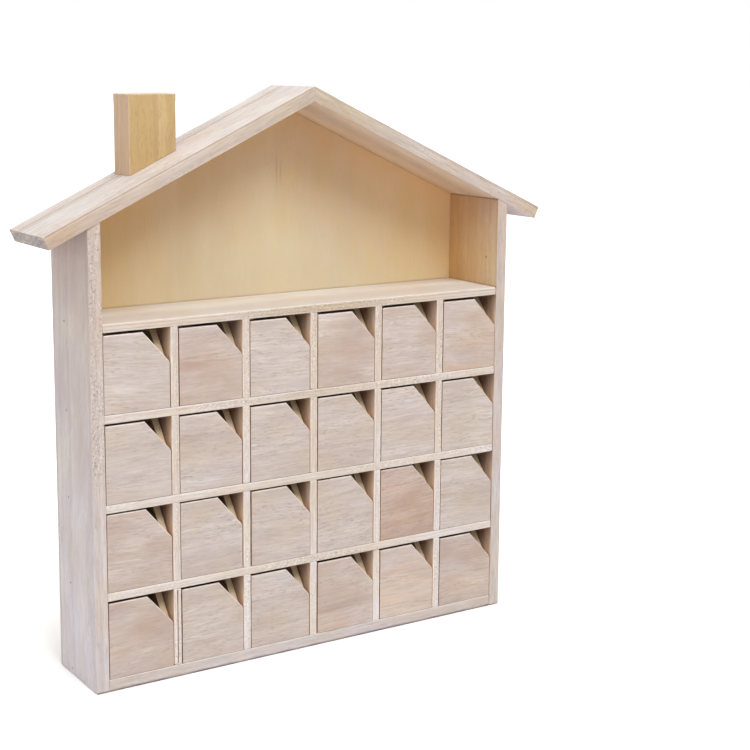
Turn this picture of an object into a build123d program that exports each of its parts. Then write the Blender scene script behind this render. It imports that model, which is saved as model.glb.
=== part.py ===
from build123d import *
import math
import os

# A house-shaped advent calendar of bare wood, in millimetres. +Z is up, the front faces -Y,
# and the origin is under the middle of the house, on the surface that it stands on.

# House body
body_width = 300.0  # over the outer faces of the two side panels
carcass_depth = 52.0  # front edges of the boards to the back panel
side_thickness = 8.0
bottom_thickness = 7.5
shelf_thickness = 5.0
divider_thickness = 5.0
back_thickness = 3.0
columns = 6
rows = 4
cell_height = 48.4  # clear height of one drawer bay
attic_side_height = 55.0  # attic floor to roof, at the outer face of a side panel

# Roof and chimney
roof_pitch = 24.7  # degrees
roof_thickness = 8.0
eave_overhang = 26.5  # side panel to the tip of the eave, measured level
back_below_roof = 2.0  # edge of the back panel below the top of the roof boards
chimney_width = 30.5
chimney_depth = 21.5
chimney_tall_side = 47.5
chimney_from_ridge = 81.0
chimney_middle_share = 0.69  # middle of the chimney, as a share of the carcass depth

# Drawers
drawer_side_gap = 0.5  # each side
drawer_top_gap = 0.9
drawer_back_gap = 0.5
front_thickness = 4.5
wall_thickness = 4.5  # two sides and the back
base_thickness = 3.0
notch_width = 16.8  # finger notch, along the top edge of the front
notch_height = 19.4
notch_run = 15.0  # finger notch, along the top edge of the right side

# Brads
brad_diameter = 1.2
brad_sink = 0.4  # head below the face of the wood
brad_bite = 10.0  # length held in the second board
cut_overrun = 1.0  # cuts run this far past the faces that they open
side_brad_share = 0.71  # place along the carcass depth
side_back_brad_shares = (0.12, 0.5, 0.88)  # places up a side panel
bottom_back_brad_shares = (-0.5, 0.5)  # places from the middle to a side panel
roof_back_brad_shares = (0.25, 0.75)  # places from the ridge to a side panel

# Widths and depths worked out from the sizes above
half_width = body_width / 2
inner_half_width = half_width - side_thickness
front_y = -(carcass_depth + back_thickness) / 2
carcass_back_y = front_y + carcass_depth
back_y = carcass_back_y + back_thickness
lap_y = front_y + carcass_depth / 2
cell_width = (2 * inner_half_width - (columns - 1) * divider_thickness) / columns
column_pitch = cell_width + divider_thickness
row_pitch = cell_height + shelf_thickness

# Heights worked out from the sizes above
attic_shelf_z = bottom_thickness + rows * row_pitch - shelf_thickness
attic_floor_z = attic_shelf_z + shelf_thickness
side_top_z = attic_floor_z + attic_side_height
roof_angle = math.radians(roof_pitch)
roof_slope = math.tan(roof_angle)
roof_rise = roof_thickness / math.cos(roof_angle)  # roof board's thickness, measured upright
ridge_under_z = side_top_z + half_width * roof_slope
ridge_top_z = ridge_under_z + roof_rise
eave_x = half_width + eave_overhang

# Drawer sizes worked out from the bays
drawer_width = cell_width - 2 * drawer_side_gap
drawer_height = cell_height - drawer_top_gap
drawer_depth = carcass_depth - drawer_back_gap


def board(x, y, z):
    """A square-cut board; each argument is its (low, high) along that axis."""
    size = (x[1] - x[0], y[1] - y[0], z[1] - z[0])
    return Pos(x[0], y[0], z[0]) * Box(*size, align=Align.MIN)


def sawn_across(outline, y):
    """A board with an (x, z) outline, running from y[0] to y[1]."""
    corners = [(x, y[0], z) for x, z in outline]
    return extrude(make_face(Polyline(*corners, close=True)), amount=y[1] - y[0], dir=(0, 1, 0))


def sawn_along(outline, x):
    """A board with a (y, z) outline, running from x[0] to x[1]."""
    corners = [(x[0], y, z) for y, z in outline]
    return extrude(make_face(Polyline(*corners, close=True)), amount=x[1] - x[0], dir=(1, 0, 0))


def roof_under(x):
    """Height of the roof's underside at x."""
    return ridge_under_z - abs(x) * roof_slope


def roof_top(x):
    """Height of the roof's upper face at x."""
    return ridge_top_z - abs(x) * roof_slope


def shelf_z(level):
    """Underside of a row shelf, counted from 1 at the lowest."""
    return bottom_thickness + level * row_pitch - shelf_thickness


def divider_x(place):
    """Left face of a column divider, counted from 1 at the left."""
    return -inner_half_width + place * column_pitch - divider_thickness


# Brads: each one is a head on a face and the way that it is driven
def side_brads():
    """Through both side panels, into the ends of the bottom board and the shelves."""
    y = front_y + side_brad_share * carcass_depth
    heights = [bottom_thickness / 2]
    heights += [shelf_z(level) + shelf_thickness / 2 for level in range(1, rows + 1)]
    return [((side * half_width, y, z), (-side, 0, 0)) for side in (-1, 1) for z in heights]


def back_brads():
    """Through the back panel, into the side panels, the bottom board and the roof boards."""
    spots = [(share * inner_half_width, bottom_thickness / 2) for share in bottom_back_brad_shares]
    for side in (-1, 1):
        x = side * (half_width - side_thickness / 2)
        spots += [(x, share * side_top_z) for share in side_back_brad_shares]
        slope_spots = [side * share * half_width for share in roof_back_brad_shares]
        spots += [(x, roof_top(x) - roof_rise / 2) for x in slope_spots]
    return [((x, back_y, z), (0, -1, 0)) for x, z in spots]


def brad(head, way, first_board):
    """One brad, sunk below the face of the first board and biting into the second."""
    axis = Plane(origin=head, z_dir=way).offset(brad_sink)
    length = first_board + brad_bite - brad_sink
    return axis * Cylinder(brad_diameter / 2, length, align=(Align.CENTER, Align.CENTER, Align.MIN))


def brad_hole(head, way, first_board):
    """The hole that a brad makes, open at the face."""
    axis = Plane(origin=head, z_dir=way).offset(-cut_overrun)
    length = first_board + brad_bite + cut_overrun
    return axis * Cylinder(brad_diameter / 2, length, align=(Align.CENTER, Align.CENTER, Align.MIN))


side_holes = [brad_hole(head, way, side_thickness) for head, way in side_brads()]
back_holes = [brad_hole(head, way, back_thickness) for head, way in back_brads()]
carcass_y = (front_y, carcass_back_y)
between_sides = (-inner_half_width, inner_half_width)


# Carcass
def side_panel(side):
    """A side panel, bevelled to the roof; side is -1 for left and 1 for right."""
    faces = (side * half_width, side * inner_half_width)
    foot = [(x, 0) for x in faces]
    top = [(x, roof_under(x)) for x in reversed(faces)]
    return sawn_across(foot + top, carcass_y) - side_holes - back_holes


def bottom_board():
    return board(between_sides, carcass_y, (0, bottom_thickness)) - side_holes - back_holes


def attic_shelf():
    return board(between_sides, carcass_y, (attic_shelf_z, attic_floor_z)) - side_holes


def row_shelf(level):
    """A row shelf, slotted from behind so that each divider laps into it."""
    heights = (shelf_z(level), shelf_z(level) + shelf_thickness)
    shelf = board(between_sides, carcass_y, heights)
    slot_y = (lap_y, carcass_back_y + cut_overrun)
    slot_z = (heights[0] - cut_overrun, heights[1] + cut_overrun)
    for place in range(1, columns):
        shelf -= board((divider_x(place), divider_x(place) + divider_thickness), slot_y, slot_z)
    return shelf - side_holes


def column_divider(place):
    """A divider, slotted from the front so that it laps over each row shelf."""
    faces = (divider_x(place), divider_x(place) + divider_thickness)
    divider = board(faces, carcass_y, (bottom_thickness, attic_shelf_z))
    slot_x = (faces[0] - cut_overrun, faces[1] + cut_overrun)
    slot_y = (front_y - cut_overrun, lap_y)
    for level in range(1, rows):
        divider -= board(slot_x, slot_y, (shelf_z(level), shelf_z(level) + shelf_thickness))
    return divider


def back_panel():
    """House-shaped sheet, flush with the side panels and a little below the roof's upper face."""
    drop = back_below_roof / math.cos(roof_angle)
    corner_z = roof_top(half_width) - drop
    outline = [(-half_width, 0), (half_width, 0), (half_width, corner_z)]
    outline += [(0, ridge_top_z - drop), (-half_width, corner_z)]
    return sawn_across(outline, (carcass_back_y, back_y)) - back_holes


def roof_board(side):
    """A roof board, mitred at the ridge and cut square at the eave."""
    tip = (side * eave_x, roof_top(eave_x))
    under_x = eave_x - roof_thickness * math.sin(roof_angle)
    under_z = tip[1] - roof_thickness * math.cos(roof_angle)
    outline = [(0, ridge_under_z), (0, ridge_top_z), tip, (side * under_x, under_z)]
    return sawn_across(outline, carcass_y) - back_holes


def chimney():
    """A block on the left slope, its foot cut to the roof."""
    near_x = -chimney_from_ridge
    far_x = near_x - chimney_width
    top_z = roof_top(far_x) + chimney_tall_side
    middle_y = front_y + chimney_middle_share * carcass_depth
    depth = (middle_y - chimney_depth / 2, middle_y + chimney_depth / 2)
    outline = [(far_x, roof_top(far_x)), (near_x, roof_top(near_x)), (near_x, top_z), (far_x, top_z)]
    return sawn_across(outline, depth)


# Drawers
def drawer_corner(column, row):
    """Left and bottom of a drawer's front, rows counted from the top."""
    x = -inner_half_width + column * column_pitch + drawer_side_gap
    z = bottom_thickness + (rows - 1 - row) * row_pitch
    return x, z


def drawer_front(left, bottom):
    """The front, its top right corner cut off for a fingertip."""
    right = left + drawer_width
    top = bottom + drawer_height
    outline = [(left, bottom), (right, bottom), (right, top - notch_height)]
    outline += [(right - notch_width, top), (left, top)]
    return sawn_across(outline, (front_y, front_y + front_thickness))


def drawer_tray(left, bottom):
    """Left side, right side with its notch, back and bottom, each a piece of its own."""
    right = left + drawer_width
    top = bottom + drawer_height
    inner_x = (left + wall_thickness, right - wall_thickness)
    start_y = front_y + front_thickness
    end_y = front_y + drawer_depth
    left_side = board((left, inner_x[0]), (start_y, end_y), (bottom, top))
    outline = [(start_y, bottom), (end_y, bottom), (end_y, top)]
    outline += [(start_y + notch_run, top), (start_y, top - notch_height)]
    right_side = sawn_along(outline, (inner_x[1], right))
    rear = board(inner_x, (end_y - wall_thickness, end_y), (bottom, top))
    base = board(inner_x, (start_y, end_y - wall_thickness), (bottom, bottom + base_thickness))
    return [left_side, right_side, rear, base]


def save(name, *pieces):
    """Write one node, with each of its pieces as a solid of its own."""
    solids = [solid for piece in pieces for solid in piece.solids()]
    export_step(Compound(solids), f"parts/{name}.step")


os.makedirs("parts", exist_ok=True)
save("left_side_panel", side_panel(-1))
save("right_side_panel", side_panel(1))
save("bottom_board", bottom_board())
save("attic_shelf", attic_shelf())
save("row_shelves", *[row_shelf(level) for level in range(1, rows)])
save("column_dividers", *[column_divider(place) for place in range(1, columns)])
save("back_panel", back_panel())
save("left_roof_board", roof_board(-1))
save("right_roof_board", roof_board(1))
save("chimney", chimney())
save("side_brads", *[brad(head, way, side_thickness) for head, way in side_brads()])
save("back_brads", *[brad(head, way, back_thickness) for head, way in back_brads()])
for row in range(rows):
    for column in range(columns):
        number = row * columns + column + 1
        corner = drawer_corner(column, row)
        save(f"drawer_{number:02d}_front", drawer_front(*corner))
        save(f"drawer_{number:02d}_tray", *drawer_tray(*corner))
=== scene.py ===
"""The looks of a bare wooden advent calendar, laid out as a Blender add-on and run as a script.

Everything is in metres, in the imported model's own frame: +Z is up and the front faces -Y.
"""

import math
import random
from collections import namedtuple

import bmesh
import bpy
from bpy.props import FloatProperty, FloatVectorProperty, PointerProperty
from mathutils import Matrix, Vector, noise


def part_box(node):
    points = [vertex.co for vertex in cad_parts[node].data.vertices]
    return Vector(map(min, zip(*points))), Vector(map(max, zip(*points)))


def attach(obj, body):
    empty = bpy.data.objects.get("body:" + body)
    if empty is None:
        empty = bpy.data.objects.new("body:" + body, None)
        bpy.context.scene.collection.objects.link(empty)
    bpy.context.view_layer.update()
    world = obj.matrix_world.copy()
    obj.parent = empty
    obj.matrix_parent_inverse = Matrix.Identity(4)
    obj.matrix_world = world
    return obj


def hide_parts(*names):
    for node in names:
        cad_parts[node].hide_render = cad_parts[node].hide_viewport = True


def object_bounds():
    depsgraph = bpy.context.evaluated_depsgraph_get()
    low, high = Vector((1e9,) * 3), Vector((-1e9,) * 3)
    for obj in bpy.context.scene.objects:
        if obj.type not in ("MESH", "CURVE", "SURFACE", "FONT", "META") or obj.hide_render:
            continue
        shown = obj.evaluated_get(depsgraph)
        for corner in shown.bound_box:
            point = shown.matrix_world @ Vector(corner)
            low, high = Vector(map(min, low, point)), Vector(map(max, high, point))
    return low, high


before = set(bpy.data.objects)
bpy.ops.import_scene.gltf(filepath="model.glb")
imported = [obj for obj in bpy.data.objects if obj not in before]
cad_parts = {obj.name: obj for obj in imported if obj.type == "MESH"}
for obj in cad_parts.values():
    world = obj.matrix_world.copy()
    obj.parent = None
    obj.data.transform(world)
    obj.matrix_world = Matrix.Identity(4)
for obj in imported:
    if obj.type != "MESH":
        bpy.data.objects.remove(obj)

bl_info = {
    "name": "Wooden advent calendar",
    "version": (1, 0, 0),
    "blender": (4, 5, 0),
    "location": "View3D > Sidebar > Calendar",
    "description": "Builds the boards, drawers and finishes of a bare wooden advent calendar",
    "category": "Object",
}

MM = 0.001
CAD_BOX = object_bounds()
COLUMNS = 6
ROWS = 4
DRAWERS = [f"drawer_{number:02d}" for number in range(1, COLUMNS * ROWS + 1)]
LEFT, RIGHT = Vector((-1, 0, 0)), Vector((1, 0, 0))
FRONT, BACK = Vector((0, -1, 0)), Vector((0, 1, 0))
DOWN, UP = Vector((0, 0, -1)), Vector((0, 0, 1))
AXES = {"X": RIGHT, "Y": BACK, "Z": UP}

# Drawer fronts that were cut from warmer or redder sheets, counted from the top left
WARM_FRONTS = (2, 4, 5, 6, 13, 19, 22, 24)
RED_FRONTS = (17,)
# How far the fronts of each row have dried, as shares of the usual shrinkage
ROW_SHRINKAGE = (2.2, 1.2, 0.3, 1.6)

# Parts of each cut's figure that have a tone of their own
TONES = {"pale": "Clear wood", "dark": "Grain", "blush": "Drift of tone"}
# Cuts of wood: where each one shows, and its pale, dark and blush tones
CUTS = {
    "side": ("outer faces of the side panels", (241, 238, 239), (188, 178, 176), (219, 210, 217)),
    # The inner faces' tones are a darker, warmer copy of the outer faces' wood: painted shade and painted
    # warm bounce light of the niche
    "inner": ("inner faces of the side panels", (220, 200, 168), (187, 160, 127), (213, 186, 149)),
    # The dividers' tones are lighter than their wood: painted light on the lower walls of the bays, which
    # the painted shadow of the shelf above darkens higher up
    "divider": ("dividers and the end bays' walls", (255, 237, 218), (210, 178, 154), (244, 206, 175)),
    "edge": ("edges of the panels and the bottom", (217, 212, 216), (180, 168, 164), (214, 201, 193)),
    "gable": ("front and back edges of the roof", (209, 200, 196), (172, 155, 144), (207, 191, 175)),
    "lip": ("edges of the shelves and dividers", (235, 232, 235), (199, 186, 177), (230, 219, 206)),
    "shelf": ("faces of the shelves and the bottom", (232, 234, 230), (200, 186, 172), (226, 215, 204)),
    "roof": ("upper faces of the roof boards", (236, 235, 231), (190, 173, 161), (228, 219, 214)),
    "under": ("undersides of the roof boards", (236, 228, 230), (200, 186, 182), (228, 214, 216)),
    "end": ("sawn ends of the boards", (222, 211, 201), (122, 110, 104), (196, 186, 186)),
    "ply": ("inner face of the back panel", (246, 233, 194), (215, 192, 143), (240, 219, 161)),
    "rear": ("outer face of the back panel", (236, 219, 197), (200, 172, 142), (230, 204, 176)),
    "chimney": ("front and back of the chimney", (203, 176, 133), (171, 142, 98), (195, 168, 118)),
    "flank": ("sides and ends of the chimney", (223, 196, 167), (192, 163, 136), (217, 182, 148)),
    "front": ("drawer fronts", (218, 209, 204), (174, 159, 150), (202, 186, 174)),
    "warm": ("drawer fronts from warmer sheets", (217, 208, 201), (175, 157, 147), (190, 166, 151)),
    "red": ("drawer front from a redder sheet", (208, 193, 184), (167, 142, 129), (188, 162, 145)),
    "core": ("sawn edges of the drawer fronts", (201, 168, 139), (145, 110, 85), (179, 139, 109)),
    "rim": ("sawn edges of the tray boards", (250, 231, 198), (216, 186, 142), (245, 219, 178)),
    # The slanted cuts' tones are a lighter copy of the trays' sawn edges: painted light on the cuts in the
    # notches' shade
    "cut": ("slanted cuts of the trays", (255, 239, 212), (232, 205, 168), (252, 229, 194)),
    "tray": ("sides, backs and bottoms of the trays", (231, 207, 170), (194, 159, 117), (223, 190, 143)),
}
# Ways that the wood was sawn: how strongly each part of the figure shows, and the bands' width and wave
FIGURE_PARTS = ("Bands", "Fibres", "Pores", "Drift", "Band Width", "Wave")
FIGURES = {
    "panel": (0.5, 0.3, 0.2, 1.0, 0.005, 0.012),
    "calm": (0.4, 0.4, 0.25, 1.0, 0.007, 0.016),
    "planed": (0.5, 0.35, 0.15, 0.8, 0.008, 0.006),
    "block": (0.45, 0.35, 0.35, 1.0, 0.004, 0.016),
    "veneer": (0.25, 0.6, 0.5, 1.0, 0.006, 0.005),
    "roof": (0.45, 0.8, 0.6, 1.0, 0.006, 0.005),
    "sheet": (0.12, 0.08, 0.05, 0.6, 0.014, 0.012),
    "backing": (0.4, 0.35, 0.25, 0.8, 0.011, 0.014),
    "sawn": (0.35, 0.65, 0.3, 1.0, 0.004, 0.003),
    "end": (0.6, 0.8, 0.8, 1.0, 0.003, 0.008),
}
# Turns that bring a board's grain to X
GRAIN_TURNS = {
    "along_x": (0, 0, 0),
    "along_y": (0, 0, -math.pi / 2),
    "along_z": (0, math.pi / 2, 0),
}

# Knots and splits, by finish: middle, half length and half width in millimetres, and strength
FLAWS = {
    "right_side_inner": (((142, -15.9, 240), 1.0, 1.3, 0.9), ((142, -15.4, 228), 9.0, 0.4, 0.5)),
    "back_face": (((3.6, 24.5, 302), 11.5, 0.5, 0.4), ((6.5, 24.5, 299), 8.0, 0.45, 0.4)),
}
# Wood whose tone changes over a board, much of it painted shade and painted bounce light: tint, axis, and
# where it starts and is full, in millimetres
AGEING_AND_SHADE = {
    # Darker towards the roof, with a yellow cast: painted shade under the roof on the carcass
    "carcass": (("aged_and_shaded", "Z", 30, 290),),
    # On the panels' outer faces, also a painted shadow of the eave near the top
    "panel": (("aged_and_shaded", "Z", 30, 290), ("eave_shadow", "Z", 222, 270)),
    # In the niche: painted shade towards the ridge, and painted warm bounce light towards the sides, most at
    # the left
    "niche": (("ridge_shade", "slope", 255, 344), ("unbounced_middle", "X", 142, 60), ("left_bounce_warmth", "left", 80, 142)),
    # On the panels' inner faces in the attic: painted shade towards the back and under the roof
    "attic": (("deep_niche_shade", "Y", -24, 24), ("under_roof_shade", "Z", 240, 280)),
    # Under the roof: painted shade inside the house and towards the back
    "ceiling": (("inner_ceiling_shade", "X", 150.5, 149.5), ("deep_ceiling_shade", "Y", -24, 24)),
    "left_gable": (("tipped", "X", 120, 162), ("crowned", "X", 70, -80)),
    "right_gable": (("tipped", "X", 145, 185), ("crowned", "X", 95, 0)),
    "right_rim": (("aged_and_shaded", "Z", 30, 290), ("warmed", "Z", 95, 60)),
    "sole": (("warmed", "X", 60, 130),),
    "attic_lip": (("aged_and_shaded", "Z", 30, 290), ("browned", "X", 80, 30)),
    "shelf_lip": (("aged_and_shaded", "Z", 30, 290), ("browned", "X", 100, -60)),
    # In the bays: a painted shadow of the shelf above, slanting back as it goes down
    "bay": (("shadowed", "bay", -42, -21),),
    "end_bay": (("shadowed", "bay", -47, -24),),
    # At the top of a drawer's front: painted shade in the slot under the shelf
    "slot": (("slot_shade", "Y", -26.9, -26.0),),
    # On a tray's slanted cut: painted shade deeper into the notch
    "cut": (("notch_shade", "Y", -14.5, -8.5),),
}
# How far the painted shadow of the shelf in a bay draws back for each step down from the shelf above
BAY_SLANT = 1.2
# Dark lines where boards meet, by finish: the joint, its width in millimetres, its strength and its tint;
# the lines along the floor are a painted contact shadow
JOINTS = {
    "back_face": (
        ("left_roof", 1.3, 0.5, "glue"),
        ("right_roof", 1.3, 0.35, "glue"),
        ("right_panel", 1.1, 0.15, "glue"),
        ("attic_floor", 1.0, 0.3, "glue"),
    ),
    "right_side_inner": (
        ("right_roof", 1.3, 0.8, "glue"),
        ("back", 1.1, 0.15, "glue"),
        ("attic_floor", 1.0, 0.5, "glue"),
    ),
    "right_roof_under": (("ceiling_seam", 14.0, 0.35, "umber"), ("front", 0.9, 0.3, "umber")),
    "left_side_face": (("left_roof", 2.5, 0.3, "glue"),),
    "left_side_edge": (("left_roof", 1.1, 0.7, "glue"), ("floor", 1.6, 0.9, "contact_shadow")),
    "right_side_edge": (("right_roof", 1.0, 0.4, "glue"), ("floor", 1.2, 0.7, "contact_shadow")),
    "bottom_edge": (("floor", 1.9, 1.0, "contact_shadow"),),
}
# Patches of tone on the drawer fronts, by number: place as shares of the front's width and height,
# half length and half width in millimetres, strength and tint
STAINS = {
    2: (
        (0.35, 0.56, 26, 6, 0.55, "umber"),
        (0.5, 0.85, 22, 8, 0.2, "umber"),
        (0.2, 0.5, 12, 3, 0.3, "russet"),
    ),
    6: ((0.5, 0.05, 30, 3.5, 0.6, "tan"), (0.6, 0.4, 25, 10, 0.25, "tan")),
    8: ((0.25, 0.75, 18, 10, 0.3, "umber"),),
    11: ((0.5, 0.55, 16, 2, 0.3, "russet"),),
    13: ((0.4, 0.5, 34, 30, 0.3, "umber"),),
    17: ((0.6, 0.3, 20, 10, 0.2, "tan"), (0.3, 0.75, 16, 8, 0.2, "peach")),
    19: ((0.3, 0.4, 22, 8, 0.15, "tan"),),
    22: ((0.35, 0.32, 22, 3, 0.6, "umber"), (0.5, 0.12, 26, 6, 0.2, "peach")),
    23: ((0.5, 0.3, 40, 30, 0.4, "peach"), (0.35, 0.68, 17, 2.5, 0.5, "russet")),
    24: ((0.55, 0.25, 26, 10, 0.25, "tan"), (0.8, 0.45, 9, 3, 0.45, "umber")),
}
# Where the saw left an edge rough, by finish: start and end along the board, in millimetres
ROUGH_SPANS = {"left_side_edge": (110, 330), "attic_edge": (-75, 85)}
ROUGH_FADE = 0.04  # metres from an end of that span to its full roughness

# How strongly a sheet's core and the saw's pits and fibres show
CORE_STRENGTH = 0.5
PIT_STRENGTH = 0.75
FIBRE_STRENGTH = 0.7
# Relief of the saw's marks against the grain's, the grain's strength, and its depth in metres
FUZZ_RELIEF = 4.0
GRAIN_RELIEF = 0.15
GRAIN_DEPTH = 0.0004
# Roughness of dark and of pale grain, and the gloss of bare wood
DARK_ROUGHNESS = 0.62
PALE_ROUGHNESS = 0.8
GLOSS = 0.25
# Deepest and lightest tones of a cut, and dull steel, as shares of the dark, pale and clean tones; the
# lightest tone also paints the highlight on rubbed edges
DEEP_SHARE = 0.6
LIGHT_SHARE = 1.12
DULL_SHARE = 0.45
STEEL_METALLIC = 0.8

# What a mesh tells its finish: place through the thickness, rubbed edges, lightened partly as a painted
# highlight, and glued seams, with painted shade at the foot and in the drawers' gaps
LAYERS = ("across", "worn", "glue")
# Glue and dirt that show in eased edges, a painted contact shadow at the foot, darkening at the foot of a
# drawer's front, painted shade in a drawer's gap, and rubbing with a painted highlight at the top of a
# drawer's front
FOOT_SHADOW = 0.7
ATTIC_GLUE = 0.5
SEAM_GLUE = 0.9
MITRE_GLUE = 0.1
LIP_GLUE = 0.8
SILL_DARKENING = 0.4
GAP_SHADE = 0.9
TOP_RUB_AND_HIGHLIGHT = 2.0
# Edges that are eased in a way of their own: a test of their points, the rounding, its segments, and how
# much glue, dirt and painted shade, and how much rubbing and painted highlight, shows in it
Eased = namedtuple("Eased", "test rounding segments dirt rubbing", defaults=(2, 0.0, 0.0))

# Fine nicks and longer tears in an eased edge: spots to a metre, and shares of the deepest nick
NICK_SPOTS = 420
NICK_SHARE = 0.8
TEAR_SPOTS = 75
TEAR_SHARE = 1.2
TEAR_START = 0.1
# How near a point faces the calm direction to be nicked less, and the share of its nicks that it keeps
CALM_COSINE = 0.2
CALM_SHARE = 0.2
# Angle from which an edge counts as sharp, and the distance at which points count as touching
SHARP_ANGLE = math.radians(50)
TOUCHING = 0.01 * MM
PIT_SIDES = 20

# Soft boxes: where each one hangs and its width, in metres
LAMPS = {
    "key": ((-0.05, -1.0, 1.5), 0.9),
    "fill": ((-1.65, -0.55, 0.4), 1.0),
    "top": ((-0.2, 0.0, 2.0), 1.2),
    "rear": ((0.9, 1.4, 1.0), 1.4),
}
# The floor: half its side in metres, squares along a side, and roughness
FLOOR_HALF_SIDE = 12.0
FLOOR_SQUARES = 8
FLOOR_ROUGHNESS = 0.9


def plain_number(name, description, default):
    """A property that holds a plain number."""
    return FloatProperty(name=name, description=description, default=default)


def length(name, description, millimetres):
    """A property that holds a length."""
    default = millimetres * MM
    return FloatProperty(name=name, description=description, default=default, unit="LENGTH", precision=5)


def angle(name, description, degrees):
    """A property that holds an angle."""
    return FloatProperty(name=name, description=description, default=math.radians(degrees), subtype="ANGLE")


def power(name, description, watts):
    """A property that holds a lamp's power."""
    return FloatProperty(name=name, description=description, default=watts, unit="POWER")


def tint(name, description, red, green, blue):
    """A property that holds a colour, as red, green and blue on screen from 0 to 255."""
    shade = (red / 255, green / 255, blue / 255)
    return FloatVectorProperty(
        name=name, description=description, default=shade, subtype="COLOR_GAMMA", min=0, max=1
    )


class CalendarSizes(bpy.types.PropertyGroup):
    """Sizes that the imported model's boxes don't give."""

    roof_pitch: angle("Roof pitch", "Slope of the roof boards", 24.7)
    roof_thickness: length("Roof thickness", "Thickness of a roof board", 8.0)
    shelf_thickness: length("Shelf thickness", "Thickness of a row shelf", 5.0)
    divider_thickness: length("Divider thickness", "Thickness of a column divider", 5.0)
    notch_width: length("Notch width", "Finger notch, along the top of a drawer's front", 16.8)
    notch_height: length("Notch height", "Finger notch, down the right of a drawer's front", 19.4)
    notch_run: length("Notch run", "Finger notch, along the top of a drawer's right side", 15.0)
    wall_thickness: length("Wall thickness", "Sides and back of a drawer", 4.5)
    base_thickness: length("Base thickness", "Bottom of a drawer", 3.0)
    edge_round: length("Edge rounding", "Width of the eased edge on sawn wood", 0.45)
    edge_nick: length("Edge nicks", "Deepest nick in an eased edge", 0.4)
    torn_nick: length("Torn nicks", "Deepest nick in the carcass's front edges", 0.9)
    planed_nick: length("Planed nicks", "Deepest nick in the roof's edges", 0.12)
    edge_step: length("Edge step", "Spacing of the points along an eased edge", 1.6)
    seam_round: length("Seam rounding", "Width of the eased edge along a glue line", 0.6)
    corner_round: length("Corner rounding", "Width of the eased front corner of a side panel", 1.1)
    rear_round: length("Rear rounding", "Width of the eased edge at the back of the attic floor", 0.8)
    top_round: length("Top rounding", "Width of the rubbed edges at the top of a drawer's front", 0.8)
    sill_round: length("Sill rounding", "Width of the eased edge at the foot of a drawer's front", 0.5)
    gap_round: length("Gap rounding", "Width of the eased edge of a drawer's slanted cut", 0.6)
    lip_round: length("Lip rounding", "Width of the eased edge at the front of the left roof board", 0.8)
    foot_round: length("Foot rounding", "Width of the eased edge that stands on the floor", 0.9)
    mitre_round: length("Mitre rounding", "Width of the eased edge along the ridge's mitre", 0.12)
    glue_line_share: plain_number("Glue line", "Place of the roof's glue line, as a share of depth", 0.75)
    ceiling_seam: length("Ceiling seam", "Where the roof's underside is darkest, front to back", -5.0)
    split_width: length("Split width", "Open split in the first divider's front edge", 0.7)
    split_depth: length("Split depth", "Depth of that split", 3.0)
    split_rest: length("Split rest", "Sound wood at both ends of that split, added up", 2.0)
    pit_diameter: length("Pit diameter", "Hole that a brad's head leaves in the wood", 1.5)
    pit_depth: length("Pit depth", "Depth of that hole", 0.45)
    drawer_play: length("Drawer play", "How far a drawer sits out of true in its bay", 0.22)
    front_shrink: length("Front shrinkage", "How much lower a drawer's front has dried than its sides", 0.35)


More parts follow.
